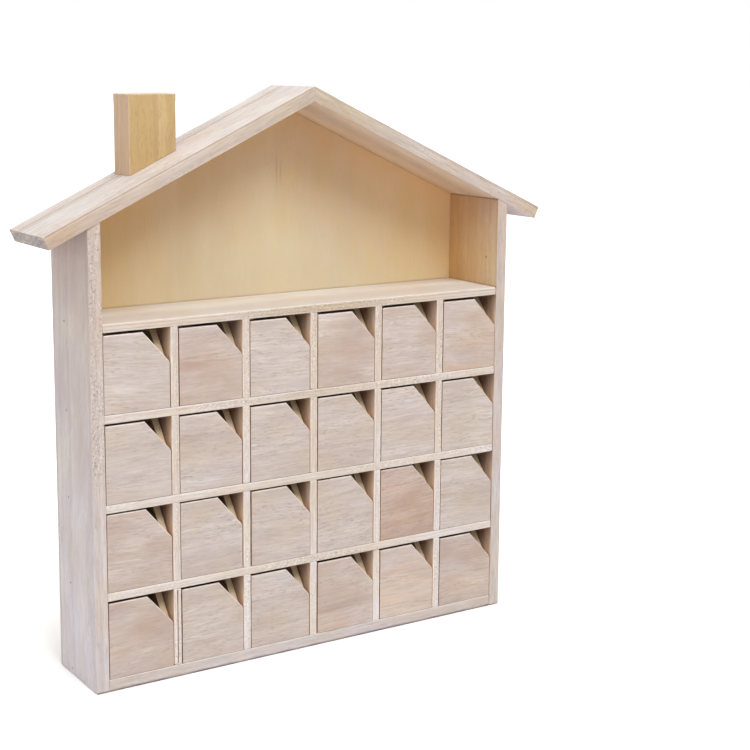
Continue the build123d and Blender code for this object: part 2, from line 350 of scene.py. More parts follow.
class CalendarTints(bpy.types.PropertyGroup):
    """Tones of the wood, as they look in even white light, among them tints of painted shade and painted
    bounce light; the tones of the cuts are added to these.
    """

    # Painted shade: the wood darker towards the roof, with a yellow cast
    aged_and_shaded: tint("Aged", "What the wood has yellowed by towards the roof", 242, 232, 219)
    # Painted shade: the niche darker and browner towards the ridge
    ridge_shade: tint("Smoked", "What the niche has browned by towards the ridge", 248, 220, 200)
    # These two paint warm bounce light on the niche's back: the middle duller and cooler than the sides, and
    # the far left yellower
    unbounced_middle: tint("Cooled", "What the niche's back is duller by at its middle", 235, 236, 251)
    left_bounce_warmth: tint("Gilded", "What the niche's back has yellowed by at the left", 255, 248, 228)
    # Painted shade on the panels' inner faces under the roof
    under_roof_shade: tint("Topped", "What the panels' inner faces have darkened by under the roof", 230, 220, 232)
    # Painted shade on the roof's underside towards the back
    deep_ceiling_shade: tint("Hazed", "What the roof's underside has yellowed by towards the back", 255, 247, 230)
    # Painted shade on the panels' inner faces towards the back of the niche
    deep_niche_shade: tint("Tanned", "What the panels' inner faces have browned by towards the back", 255, 232, 193)
    # Painted shadow of the eave near the top of a panel's outer face
    eave_shadow: tint("Sheltered", "What a panel's outer face has greyed by under the eave", 231, 227, 228)
    # Painted shade on the roof's underside inside the house, where the eaves stay lighter
    inner_ceiling_shade: tint("Roofed", "What the roof's underside has browned by inside the house", 249, 238, 217)
    tipped: tint("Tipped", "What the roof boards' edges have browned by towards their tips", 252, 240, 222)
    crowned: tint("Crowned", "What the roof boards' edges have browned by at the ridge", 243, 239, 221)
    warmed: tint("Warmed", "What the lower edges of the carcass have yellowed by", 250, 247, 237)
    browned: tint("Browned", "What the shelves' front edges have browned by at the middle", 240, 236, 226)
    # Painted shadow of the shelf above on a bay's walls
    shadowed: tint("Shadowed", "What a bay's walls have darkened by behind the front", 168, 152, 140)
    # Painted shade deeper into the notch on a drawer's slanted cut
    notch_shade: tint("Sooted", "What the saw has scorched a drawer's slanted cut by", 168, 150, 134)
    # Painted shade in the slot between the top of a drawer's front and the shelf above
    slot_shade: tint("Scorched", "What the saw has scorched the top of a drawer's front by", 84, 56, 42)
    russet: tint("Russet", "Reddish streaks in a drawer's front", 186, 148, 130)
    umber: tint("Umber", "Brown streaks in a drawer's front and under the roof", 168, 142, 124)
    tan: tint("Tan", "Yellow-brown patches on a drawer's front", 196, 160, 124)
    peach: tint("Peach", "Pale patches on a drawer's front", 232, 203, 178)
    glue: tint("Glue", "Dried glue in a seam", 136, 104, 80)
    # Painted contact shadow along the foot, where the calendar stands on the floor
    contact_shadow: tint("Grime", "Dirt along the foot", 84, 78, 86)
    steel: tint("Steel", "Heads of the brads", 112, 104, 98)
    floor: tint("Floor", "Surface that the calendar stands on", 246, 246, 246)


for cut, (seen, *shades) in CUTS.items():
    for (tone, part), shade in zip(TONES.items(), shades):
        label = f"{cut.capitalize()}, {tone}"
        CalendarTints.__annotations__[f"{cut}_{tone}"] = tint(label, f"{part}: {seen}", *shade)


class CalendarStage(bpy.types.PropertyGroup):
    """Camera and lights."""

    camera_place: FloatVectorProperty(
        name="Camera place", description="Where the camera stands", default=(-0.4899, -0.8145, 0.3693),
        subtype="TRANSLATION", unit="LENGTH",
    )
    camera_tilt: angle("Camera tilt", "How far the camera looks down", 9.477)
    camera_turn: angle("Camera turn", "How far the camera turns to the right", 30.973)
    lens: FloatProperty(name="Lens", description="Focal length in millimetres", default=73.17, unit="CAMERA")
    shift: FloatVectorProperty(
        name="Shift", description="Off-centre framing, as shares of the picture's width",
        default=(0.1133, -0.08), size=2,
    )
    world_light: plain_number("World light", "Strength of the even light", 0.38)
    floor_lift: plain_number("Floor lift", "Brightness added for the camera at the house's foot", 0.2)
    floor_reach: length("Floor reach", "How far from the house the floor is all white", 250.0)
    key_power: power("Key light", "Soft box high in front", 22.0)
    fill_power: power("Fill light", "Soft box at the left", 7.5)
    top_power: power("Top light", "Soft box above", 2.5)
    rear_power: power("Rear light", "Soft box behind", 8.0)


def sizes():
    return bpy.context.scene.calendar_sizes


def linear(shade):
    """A screen colour as the light that a shader works with."""
    light = [c / 12.92 if c <= 0.04045 else ((c + 0.055) / 1.055) ** 2.4 for c in shade]
    return (*light, 1.0)


def tone_of(name):
    """One of the tints, as the light that a shader works with."""
    return linear(getattr(bpy.context.scene.calendar_tints, name))


def shaded(colour, share):
    """A colour made darker or lighter by a share."""
    return (*[min(1.0, share * c) for c in colour[:3]], 1.0)


def new_object(name, data):
    """A new object in the scene."""
    made = bpy.data.objects.new(name, data)
    bpy.context.scene.collection.objects.link(made)
    return made


def mesh_from(bm, name):
    """A new mesh from a bmesh, which is freed."""
    mesh = bpy.data.meshes.new(name)
    bm.to_mesh(mesh)
    bm.free()
    return mesh


def new_material(name):
    """A new material with its node tree and its shader."""
    material = bpy.data.materials.new(name)
    material.use_nodes = True
    return material, material.node_tree, material.node_tree.nodes["Principled BSDF"]


# Nodes


def feed(tree, node, inputs):
    """Gives values or links to a node's inputs."""
    for socket, value in inputs.items():
        if isinstance(value, bpy.types.NodeSocket):
            tree.links.new(value, node.inputs[socket])
        else:
            node.inputs[socket].default_value = value


def add(tree, kind, inputs=None, **settings):
    """A new node, with its settings and with values or links for its inputs."""
    made = tree.nodes.new("ShaderNode" + kind)
    for name, value in settings.items():
        setattr(made, name, value)
    feed(tree, made, inputs or {})
    return made


def maths(tree, operation, first, second=0.0, clamp=False):
    return add(tree, "Math", {0: first, 1: second}, operation=operation, use_clamp=clamp).outputs[0]


def times(tree, first, second):
    return maths(tree, "MULTIPLY", first, second)


def less(tree, first, second):
    return maths(tree, "SUBTRACT", first, second)


def vectors(tree, operation, first, second=(0, 0, 0), result="Vector"):
    return add(tree, "VectorMath", {0: first, 1: second}, operation=operation).outputs[result]


def spread(tree, value, low, high, to_low=0.0, to_high=1.0):
    """The value's range from low to high, stretched to another range and held there."""
    ends = {"Value": value, "From Min": low, "From Max": high, "To Min": to_low, "To Max": to_high}
    return add(tree, "MapRange", ends, clamp=True).outputs[0]


def blend(tree, share, first, second, way="MIX"):
    """Two colours mixed; the inputs are numbered because a Mix node repeats their names."""
    inputs = {0: share, 6: first, 7: second}
    return add(tree, "Mix", inputs, data_type="RGBA", blend_type=way, clamp_factor=True).outputs[2]


def cover(tree, mask, strength, colour, tone):
    """A colour with a tone laid over it where a mask shows."""
    return blend(tree, times(tree, mask, strength), colour, tone)


def streaks(tree, vector, along, across, detail=2.0, roughness=0.55, result="Fac"):
    """Noise drawn out along X: spots to a metre along the grain and across it."""
    drawn = vectors(tree, "MULTIPLY", vector, (along, across, across))
    inputs = {"Vector": drawn, "Scale": 1.0, "Detail": detail, "Roughness": roughness}
    return add(tree, "TexNoise", inputs, noise_dimensions="3D").outputs[result]


def wander(tree, vector, along, across):
    """Streaks as a vector that goes to either side of nothing."""
    drawn = streaks(tree, vector, along, across, result="Color")
    return vectors(tree, "SUBTRACT", drawn, (0.5, 0.5, 0.5))


def surface(tree):
    """Place on a piece, in the calendar's frame."""
    return add(tree, "TexCoord").outputs["Object"]


def mesh_layer(tree, name):
    """One of the values that a mesh tells its finish."""
    return add(tree, "Attribute", attribute_name=name).outputs["Fac"]


def use(tree, group, inputs):
    """A node group placed in a material; returns its outputs."""
    return add(tree, "Group", inputs, node_tree=group).outputs


def node_group(name, inputs, *outputs):
    """For a function that fills a shader node group: makes the group at its first use and returns it.

    An input is given with its default, or with its kind where it has none. The function gets the group's
    tree and inputs and returns a socket for each output: a colour for Color, and a value for the others.
    """

    def wrap(fill):
        def group():
            if name in bpy.data.node_groups:
                return bpy.data.node_groups[name]
            tree = bpy.data.node_groups.new(name, "ShaderNodeTree")
            for label, given in inputs.items():
                kind = given if isinstance(given, str) else "Float"
                socket = tree.interface.new_socket(label, in_out="INPUT", socket_type="NodeSocket" + kind)
                if kind == "Float":
                    socket.default_value = given
            for label in outputs:
                kind = "Color" if label == "Color" else "Float"
                tree.interface.new_socket(label, in_out="OUTPUT", socket_type="NodeSocket" + kind)
            start = tree.nodes.new("NodeGroupInput").outputs
            end = tree.nodes.new("NodeGroupOutput").inputs
            for label, value in zip(outputs, fill(tree, start)):
                tree.links.new(value, end[label])
            return tree

        return group

    return wrap


FIGURE_INPUTS = {
    "Vector": "Vector", "Pale": "Color", "Dark": "Color", "Blush": "Color",
    "Band Width": 0.004, "Wave": 0.004, "Bands": 0.5, "Fibres": 0.5, "Pores": 0.3, "Drift": 0.4,
}


@node_group("Wood figure", FIGURE_INPUTS, "Color", "Tone", "Height")
def wood_figure(tree, given):
    """Growth bands, fibres, short pores and a slow drift of tone, with the grain along X."""
    place = given["Vector"]
    quick = vectors(tree, "MULTIPLY", wander(tree, place, 70, 150), (0, 0.22, 0.22))
    bend = vectors(tree, "ADD", wander(tree, place, 10, 34), quick)
    reach = add(tree, "CombineXYZ", {"Y": given["Wave"], "Z": given["Wave"]}).outputs[0]
    bent = vectors(tree, "ADD", place, vectors(tree, "MULTIPLY", bend, reach))
    # Distance from the heart of the trunk, which tapers a little along its length
    trunk = vectors(tree, "MULTIPLY", bent, (0.03, 1, 1))
    ring = maths(tree, "DIVIDE", vectors(tree, "LENGTH", trunk, result="Value"), given["Band Width"])
    band_noise = {"W": ring, "Scale": 1.0, "Detail": 3.0, "Roughness": 0.6}
    bands = spread(tree, add(tree, "TexNoise", band_noise, noise_dimensions="1D").outputs[0], 0.28, 0.72)
    fibres = spread(tree, streaks(tree, bent, 65, 900, 4, 0.68), 0.3, 0.7)
    pores = spread(tree, streaks(tree, bent, 210, 1250, 1), 0.56, 0.7)
    pores = times(tree, pores, spread(tree, streaks(tree, place, 26, 70), 0.34, 0.6))
    drift = spread(tree, streaks(tree, place, 22, 46, 3), 0.34, 0.66)
    hue = spread(tree, streaks(tree, place, 30, 55, result="Color"), 0.34, 0.66)
    tone = 0.5
    for share, value in (("Bands", bands), ("Fibres", fibres)):
        tone = maths(tree, "ADD", tone, times(tree, given[share], less(tree, value, 0.5)))
    tone = maths(tree, "SUBTRACT", tone, times(tree, given["Pores"], pores), clamp=True)
    clear = cover(tree, drift, given["Drift"], given["Pale"], given["Blush"])
    colour = blend(tree, tone, given["Dark"], clear)
    tinge = blend(tree, hue, (1.02, 1.0, 0.95, 1.0), (0.99, 1.0, 1.05, 1.0))
    height = maths(tree, "ADD", times(tree, fibres, 0.6), times(tree, bands, 0.4))
    return blend(tree, 1.0, colour, tinge, "MULTIPLY"), tone, less(tree, height, pores)


@node_group("Sawn fuzz", {"Vector": "Vector", "Patches": 0.5}, "Pits", "Fibres", "Height")
def sawn_fuzz(tree, given):
    """Pits and raised fibres that a saw leaves, in patches along the board, with the grain along X."""
    speckle = streaks(tree, given["Vector"], 620, 950, 2, 0.65)
    patch = less(tree, streaks(tree, given["Vector"], 16, 90), less(tree, 0.75, given["Patches"]))
    patch = spread(tree, patch, 0.0, 0.2)
    pits = times(tree, spread(tree, speckle, 0.44, 0.32), patch)
    fibres = times(tree, spread(tree, speckle, 0.56, 0.68), patch)
    return pits, fibres, less(tree, fibres, pits)


@node_group("Edge wear", {"Vector": "Vector", "Worn": 0.0}, "Mask")
def edge_wear_and_highlight(tree, given):
    """Where an eased edge is rubbed, which on lightened edges is also a painted highlight: the edge's own
    attribute, broken up.
    """
    broken = spread(tree, streaks(tree, given["Vector"], 180, 180), 0.3, 0.6, 0.25, 1.0)
    return [times(tree, given["Worn"], broken)]


@node_group("Grain flaw", {"Vector": "Vector", "Reach": 0.01, "Width": 0.001, "Streaks": 0.0}, "Mask")
def grain_flaw(tree, given):
    """A knot, a split or a streaky stain round the vector's origin, drawn out along X."""
    place = given["Vector"]
    ragged = vectors(tree, "MULTIPLY", wander(tree, place, 150, 300), (0.002, 0.001, 0.001))
    half_sizes = {"X": given["Reach"], "Y": given["Width"], "Z": given["Width"]}
    half_sizes = add(tree, "CombineXYZ", half_sizes).outputs[0]
    shape = vectors(tree, "DIVIDE", vectors(tree, "ADD", place, ragged), half_sizes)
    distance = vectors(tree, "LENGTH", shape, result="Value")
    faint = spread(tree, streaks(tree, place, 40, 420, 3), 0.58, 0.4, 0.0, 0.8)
    kept = less(tree, 1.0, times(tree, faint, given["Streaks"]))
    return [times(tree, spread(tree, distance, 1.2, 0.4), kept)]


JOINT_INPUTS = {"Vector": "Vector", "Point": "Vector", "Normal": "Vector", "Width": 0.001}


@node_group("Joint stain", JOINT_INPUTS, "Mask")
def joint_stain(tree, given):
    """The line along a plane where another board meets the wood."""
    apart = vectors(tree, "SUBTRACT", given["Vector"], given["Point"])
    level = maths(tree, "ABSOLUTE", vectors(tree, "DOT_PRODUCT", apart, given["Normal"], "Value"))
    line = spread(tree, maths(tree, "DIVIDE", level, given["Width"]), 1.0, 0.35)
    broken = spread(tree, streaks(tree, given["Vector"], 60, 60), 0.35, 0.55, 0.55, 1.0)
    return [times(tree, line, broken)]


@node_group("Ply layers", {"Vector": "Vector", "Across": 0.5}, "Lines", "Core")
def ply_layers(tree, given):
    """Glue lines and a cross-grained core between a sheet's two veneers."""
    uneven = times(tree, streaks(tree, given["Vector"], 30, 30), 0.1)
    middle = less(tree, maths(tree, "ADD", given["Across"], uneven), 0.55)
    middle = maths(tree, "ABSOLUTE", middle)
    line = maths(tree, "ABSOLUTE", less(tree, middle, 0.23))
    return spread(tree, line, 0.06, 0.02), spread(tree, middle, 0.26, 0.2)


# Finishes


def shelf_steps():
    """Underside of the lowest row shelf, and the step from one shelf to the next."""
    low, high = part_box("row_shelves")
    return low.z, (high.z - low.z - sizes().shelf_thickness) / (ROWS - 2)


def joint_planes():
    """Where boards meet: a point on each joint's plane, and the plane's normal."""
    pitch = sizes().roof_pitch
    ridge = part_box("right_roof_board")[1].z - sizes().roof_thickness / math.cos(pitch)
    return {
        "left_roof": ((0, 0, ridge), (-math.sin(pitch), 0, math.cos(pitch))),
        "right_roof": ((0, 0, ridge), (math.sin(pitch), 0, math.cos(pitch))),
        "right_panel": ((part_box("right_side_panel")[0].x, 0, 0), RIGHT),
        "attic_floor": ((0, 0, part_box("attic_shelf")[1].z), UP),
        "back": ((0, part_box("back_panel")[0].y, 0), BACK),
        "front": ((0, CAD_BOX[0].y, 0), FRONT),
        "ceiling_seam": ((0, sizes().ceiling_seam, 0), BACK),
        "floor": ((0, 0, 0), UP),
    }


def measured(tree, where, axis):
    """Place along an axis, with X counted from the middle and left counted to the left.

    slope is the height at which the roof would meet X = 0; bay is the depth in a drawer's bay, less the
    lower the place is under the shelf above.
    """
    parts = add(tree, "SeparateXYZ", {0: where}).outputs
    if axis == "left":
        return times(tree, parts["X"], -1.0)
    if axis == "bay":
        first, step = shelf_steps()
        thick = sizes().shelf_thickness
        risen = maths(tree, "FLOORED_MODULO", less(tree, parts["Z"], first - step + thick), step)
        below = less(tree, step - thick, risen)
        return less(tree, parts["Y"], times(tree, below, BAY_SLANT))
    if axis in ("Y", "Z"):
        return parts[axis]
    aside = maths(tree, "ABSOLUTE", parts["X"])
    if axis == "X":
        return aside
    return maths(tree, "ADD", parts["Z"], times(tree, aside, math.tan(sizes().roof_pitch)))


def wood(name, cut, figure, grain, seed, fuzz=0.0, ply=0.0, wear_and_highlight=0.5, dark_wear=False, aged_and_shaded=None,
         stains=()):
    """Bare wood: cut names its tones, figure the way it was sawn, and grain the turn that brings it to X.

    fuzz, ply and wear say how much the saw's marks, a sheet's layers and rubbed edges show, the light
    rubbing being also a painted highlight, dark_wear that edges are rubbed dark and not light, and aged how
    the tone changes over the board, much of it painted shade and painted bounce light.
    """
    if name in bpy.data.materials:
        return bpy.data.materials[name]
    material, tree, shader = new_material(name)
    pale, dark, blush = [tone_of(f"{cut}_{tone}") for tone in TONES]
    deep, light = shaded(dark, DEEP_SHARE), shaded(pale, LIGHT_SHARE)
    chance = random.Random(seed)
    heart = (chance.uniform(-3, 3), chance.uniform(0.1, 0.2), chance.uniform(0.1, 0.2))
    turn = GRAIN_TURNS.get(grain, grain)
    where = surface(tree)
    place = add(tree, "Mapping", {"Vector": where, "Rotation": turn, "Location": heart}).outputs[0]
    looks = {"Vector": place, "Pale": pale, "Dark": dark, "Blush": blush}
    looks.update(zip(FIGURE_PARTS, FIGURES[figure]))
    grown = use(tree, wood_figure(), looks)
    colour, height = grown["Color"], grown["Height"]
    if ply:
        layers = use(tree, ply_layers(), {"Vector": place, "Across": mesh_layer(tree, "across")})
        colour = cover(tree, layers["Core"], CORE_STRENGTH * ply, colour, dark)
        colour = cover(tree, layers["Lines"], ply, colour, deep)
    marks = [(Vector(middle) * MM, *shape, deep, 0.0) for middle, *shape in FLAWS.get(name, ())]
    marks += [(middle, *shape, tone_of(cast), 1.0) for middle, *shape, cast in stains]
    for middle, reach, width, strength, tone, streaky in marks:
        apart = vectors(tree, "SUBTRACT", where, middle)
        apart = add(tree, "Mapping", {"Vector": apart, "Rotation": turn}).outputs[0]
        shape = {"Vector": apart, "Reach": reach * MM, "Width": width * MM, "Streaks": streaky}
        colour = cover(tree, use(tree, grain_flaw(), shape)["Mask"], strength, colour, tone)
    if fuzz:
        if name in ROUGH_SPANS:
            start, end = [heart[0] + edge * MM for edge in ROUGH_SPANS[name]]
            along = add(tree, "SeparateXYZ", {0: place}).outputs[0]
            inside = maths(tree, "MINIMUM", less(tree, along, start), less(tree, end, along))
            fuzz = times(tree, spread(tree, inside, 0.0, ROUGH_FADE), fuzz)
        rough = use(tree, sawn_fuzz(), {"Vector": place, "Patches": fuzz})
        colour = cover(tree, rough["Pits"], PIT_STRENGTH, colour, deep)
        colour = cover(tree, rough["Fibres"], FIBRE_STRENGTH, colour, light)
        height = maths(tree, "ADD", height, times(tree, rough["Height"], FUZZ_RELIEF))
    for cast, axis, start, full in AGEING_AND_SHADE.get(aged_and_shaded, ()):
        share = spread(tree, measured(tree, where, axis), start * MM, full * MM)
        colour = blend(tree, share, colour, tone_of(cast), "MULTIPLY")
    for joint, width, strength, cast in JOINTS.get(name, ()):
        point, normal = joint_planes()[joint]
        line = {"Vector": where, "Point": point, "Normal": normal, "Width": width * MM}
        colour = cover(tree, use(tree, joint_stain(), line)["Mask"], strength, colour, tone_of(cast))
    rubbed = use(tree, edge_wear_and_highlight(), {"Vector": place, "Worn": mesh_layer(tree, "worn")})
    # Rubbed edges take the deep tone where dark_wear is set and the light tone elsewhere, which is wear and
    # also a painted highlight along the edge
    colour = cover(tree, rubbed["Mask"], wear_and_highlight, colour, deep if dark_wear else light)
    # The glue layer lays the glue tone on eased edges: glue and dirt in seams, a painted contact shadow at
    # the foot and painted shade in the drawers' gaps
    colour = blend(tree, mesh_layer(tree, "glue"), colour, tone_of("glue"))
    bump = add(tree, "Bump", {"Height": height, "Strength": GRAIN_RELIEF, "Distance": GRAIN_DEPTH})
    feed(tree, shader, {
        "Base Color": colour,
        "Roughness": spread(tree, grown["Tone"], 0.0, 1.0, DARK_ROUGHNESS, PALE_ROUGHNESS),
        "Specular IOR Level": GLOSS,
        "Normal": bump.outputs[0],
    })
    return material


def scratched_steel(name):
    """Dull steel wire, scratched round its head."""
    material, tree, shader = new_material(name)
    scratch = streaks(tree, surface(tree), 900, 2600, 3, 0.7)
    shade = tone_of("steel")
    feed(tree, shader, {
        "Base Color": blend(tree, spread(tree, scratch, 0.35, 0.65), shaded(shade, DULL_SHARE), shade),
        "Roughness": spread(tree, scratch, 0.3, 0.7, 0.35, 0.6),
        "Metallic": STEEL_METALLIC,
    })
    return material


# Boards


def box_of(verts):
    """Lowest and highest corners of some points."""
    low = Vector([min(vert.co[i] for vert in verts) for i in range(3)])
    high = Vector([max(vert.co[i] for vert in verts) for i in range(3)])
    return low, high


def box_outline(low, high):
    return [(low[0], low[1]), (high[0], low[1]), (high[0], high[1]), (low[0], high[1])]


def plain_paint(axis):
    """Paint for a board: slot 0 for its two faces across an axis and slot 1 for its edges."""
    broad = AXES[axis]
    edges = [way for way in AXES.values() if way is not broad]
    return [(broad, 0), (-broad, 0)] + [(way * sign, 1) for way in edges for sign in (1, -1)]


def board(outline, axis, ends, paint, seed, nick=None, calm=None, special=()):
    """One board: an outline drawn out along an axis, its edges eased and nicked.

    paint pairs directions with material slots; a face takes the slot of the direction nearest its own.
    Edges that face the calm direction are nicked less. special lists the Eased edges.
    """
    nick = sizes().edge_nick if nick is None else nick
    step = sizes().edge_step
    bm = bmesh.new()
    across, worn, glue = [bm.verts.layers.float.new(name) for name in LAYERS]
    settled = bm.faces.layers.int.new("settled")
    index = list(AXES).index(axis)
    corners = [(*corner[:index], ends[0], *corner[index:]) for corner in outline]
    sheet = bm.faces.new([bm.verts.new(corner) for corner in corners])
    divide(bm, list(sheet.edges), step)
    drawn = bmesh.ops.extrude_face_region(bm, geom=bm.faces[:])
    far = [part for part in drawn["geom"] if isinstance(part, bmesh.types.BMVert)]
    bmesh.ops.translate(bm, verts=far, vec=AXES[axis] * (ends[1] - ends[0]))
    for vert in far:
        vert[across] = 1.0
    bmesh.ops.recalc_face_normals(bm, faces=bm.faces[:])
    divide(bm, sharp_edges(bm), 2 * step)
    low, high = box_of(bm.verts)
    for test, rounding, segments, dirt, rubbing in special:
        chosen = [edge for edge in sharp_edges(bm) if all(test(vert.co) for vert in edge.verts)]
        for vert in ease(bm, chosen, rounding, 0.0, seed, segments=segments):
            vert[glue] = dirt
            vert[worn] = rubbing
            for face in vert.link_faces:
                face[settled] = 1
    rest = [edge for edge in sharp_edges(bm) if edge.calc_length() > step / 4]
    ease(bm, rest, sizes().edge_round, nick, seed, calm)
    for vert in bm.verts:
        vert.co = [min(max(vert.co[i], low[i]), high[i]) for i in range(3)]
    bm.faces.layers.int.remove(settled)
    for face in bm.faces:
        face.material_index = max(paint, key=lambda pair: face.normal.dot(pair[0]))[1]
    return bm


def sharp_edges(bm):
    return [edge for edge in bm.edges if edge.calc_face_angle(0.0) > SHARP_ANGLE]


def divide(bm, edges, step):
    """Divides edges into pieces no longer than the step."""
    for edge in edges:
        cuts = int(edge.calc_length() / step)
        if cuts:
            bmesh.ops.subdivide_edges(bm, edges=[edge], cuts=cuts)


def near(value, target):
    return abs(value - target) < TOUCHING


def ease(bm, edges, rounding, nick, seed, calm=None, segments=2):
    """Rounds edges over, pushes them in where the saw tore the wood, and returns their middle points."""
    made = bmesh.ops.bevel(
        bm, geom=edges, offset=rounding, offset_type="OFFSET", segments=segments, profile=0.5,
        affect="EDGES", material=-1, clamp_overlap=True,
    )
    rounded = set(made["faces"])
    worn = bm.verts.layers.float["worn"]
    settled = bm.faces.layers.int["settled"]
    bm.normal_update()
    moves = []
    middles = []
    for vert in {vert for face in rounded for vert in face.verts}:
        flats = [face for face in vert.link_faces if face not in rounded]
        rough = noise.noise(vert.co * NICK_SPOTS + Vector((seed * 3.7, seed * 1.3, 0)))
        tear = noise.noise(vert.co * TEAR_SPOTS + Vector((0, seed * 2.1, 9.0)))
        depth = nick * (NICK_SHARE * abs(rough) + TEAR_SHARE * max(0.0, tear - TEAR_START))
        if calm is not None and vert.normal.dot(calm) > CALM_COSINE:
            depth *= CALM_SHARE
        if any(face[settled] for face in flats):
            depth = 0.0
        inward = -vert.normal * depth
        for face in flats:
            inward -= face.normal * inward.dot(face.normal)
        moves.append((vert, inward))
        if not flats:
            middles.append(vert)
            vert[worn] = 1.0
    for vert, inward in moves:
        vert.co += inward
    for face in rounded:
        face.smooth = True
    return middles


def add_piece(name, boards, materials, body, node, shift=None):
    """Joins boards into one object that rides on a body and stands for a CAD node."""
    whole = bmesh.new()
    for layer in LAYERS:
        whole.verts.layers.float.new(layer)
    for part in boards:
        single = mesh_from(part, "board")
        whole.from_mesh(single)
        bpy.data.meshes.remove(single)
    if shift is not None:
        bmesh.ops.translate(whole, verts=whole.verts[:], vec=shift)
    mesh = mesh_from(whole, name)
    for material in materials:
        mesh.materials.append(material)
    piece = new_object(name, mesh)
    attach(piece, body)
    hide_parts(node)
    return piece


def drill_pits(piece, node, axis, face):
    """Sinks a small pit over each of a node's brads, which were driven along the axis through a face."""
    turn = Matrix.Rotation(math.pi / 2, 4, "Y" if axis == "X" else "X")
    radius = sizes().pit_diameter / 2
    cutter_bm = bmesh.new()
    for spot in brad_spots(node, axis):
        spot[list(AXES).index(axis)] = face
        bmesh.ops.create_cone(
            cutter_bm, cap_ends=True, segments=PIT_SIDES, radius1=radius, radius2=radius,
            depth=2 * sizes().pit_depth, matrix=Matrix.Translation(spot) @ turn,
        )
    cut_away(piece, cutter_bm)


def open_split(piece, middle, size):
    """Cuts a thin split into a piece: a box of a size round a middle."""
    cutter_bm = bmesh.new()
    bmesh.ops.create_cube(cutter_bm, size=1.0, matrix=Matrix.LocRotScale(middle, None, size))
    cut_away(piece, cutter_bm)


def cut_away(piece, cutter_bm):
    """Takes the shape of a cutter out of a piece."""
    cutter_mesh = mesh_from(cutter_bm, "cutter")
    cutter = new_object("cutter", cutter_mesh)
    cut = piece.modifiers.new("cut", "BOOLEAN")
    cut.operation = "DIFFERENCE"
    cut.solver = "EXACT"
    cut.object = cutter
    graph = bpy.context.evaluated_depsgraph_get()
    done = bpy.data.meshes.new_from_object(piece.evaluated_get(graph))
    piece.modifiers.remove(cut)
    old = piece.data
    piece.data = done
    bpy.data.meshes.remove(old)
    bpy.data.objects.remove(cutter)
    bpy.data.meshes.remove(cutter_mesh)
    done.name = piece.name


def brad_spots(node, axis):
    """Middles of the brads of a node, seen along the axis and each counted once."""
    bm = bmesh.new()
    bm.from_mesh(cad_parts[node].data)
    bmesh.ops.remove_doubles(bm, verts=bm.verts[:], dist=TOUCHING)
    spots = {}
    left = set(bm.verts)
    while left:
        reached = [left.pop()]
        for vert in reached:
            for edge in vert.link_edges:
                other = edge.other_vert(vert)
                if other in left:
                    left.remove(other)
                    reached.append(other)
        low, high = box_of(reached)
        middle = (low + high) / 2
        aside = middle.y if axis == "X" else middle.x
        spots[round(aside / MM), round(middle.z / MM)] = middle
    bm.free()
    return [spots[key] for key in sorted(spots)]


def divider_places():
    """Left faces of the column dividers."""
    low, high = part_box("column_dividers")
    pitch = (high.x - low.x - sizes().divider_thickness) / (COLUMNS - 2)
    return [low.x + place * pitch for place in range(COLUMNS - 1)]


def slotted_shelf(low, high):
    """A row shelf from above, slotted from behind to half its depth for each divider."""
    lap = (low.y + high.y) / 2
    outline = [(high.x, high.y), (high.x, low.y), (low.x, low.y), (low.x, high.y)]
    for x in divider_places():
        far = x + sizes().divider_thickness
        outline += [(x, high.y), (x, lap), (far, lap), (far, high.y)]
    return outline


def slotted_divider(low, high):
    """A divider from the right, slotted from the front to half its depth for each row shelf."""
    first, step = shelf_steps()
    thick = sizes().shelf_thickness
    lap = (low.y + high.y) / 2
    outline = [(high.y, low.z), (high.y, high.z), (low.y, high.z)]
    for level in reversed(range(ROWS - 1)):
        foot = first + level * step
        outline += [(low.y, foot + thick), (lap, foot + thick), (lap, foot), (low.y, foot)]
    return outline + [(low.y, low.z)]


def drawer_shift(number):
    """How far a drawer sits out of true: sideways, and a little back from the front."""
    chance = random.Random(number)
    play = sizes().drawer_play
    return Vector((chance.uniform(-play, play), chance.uniform(0, 2 * play), 0))


# Operators, one for each group of like pieces


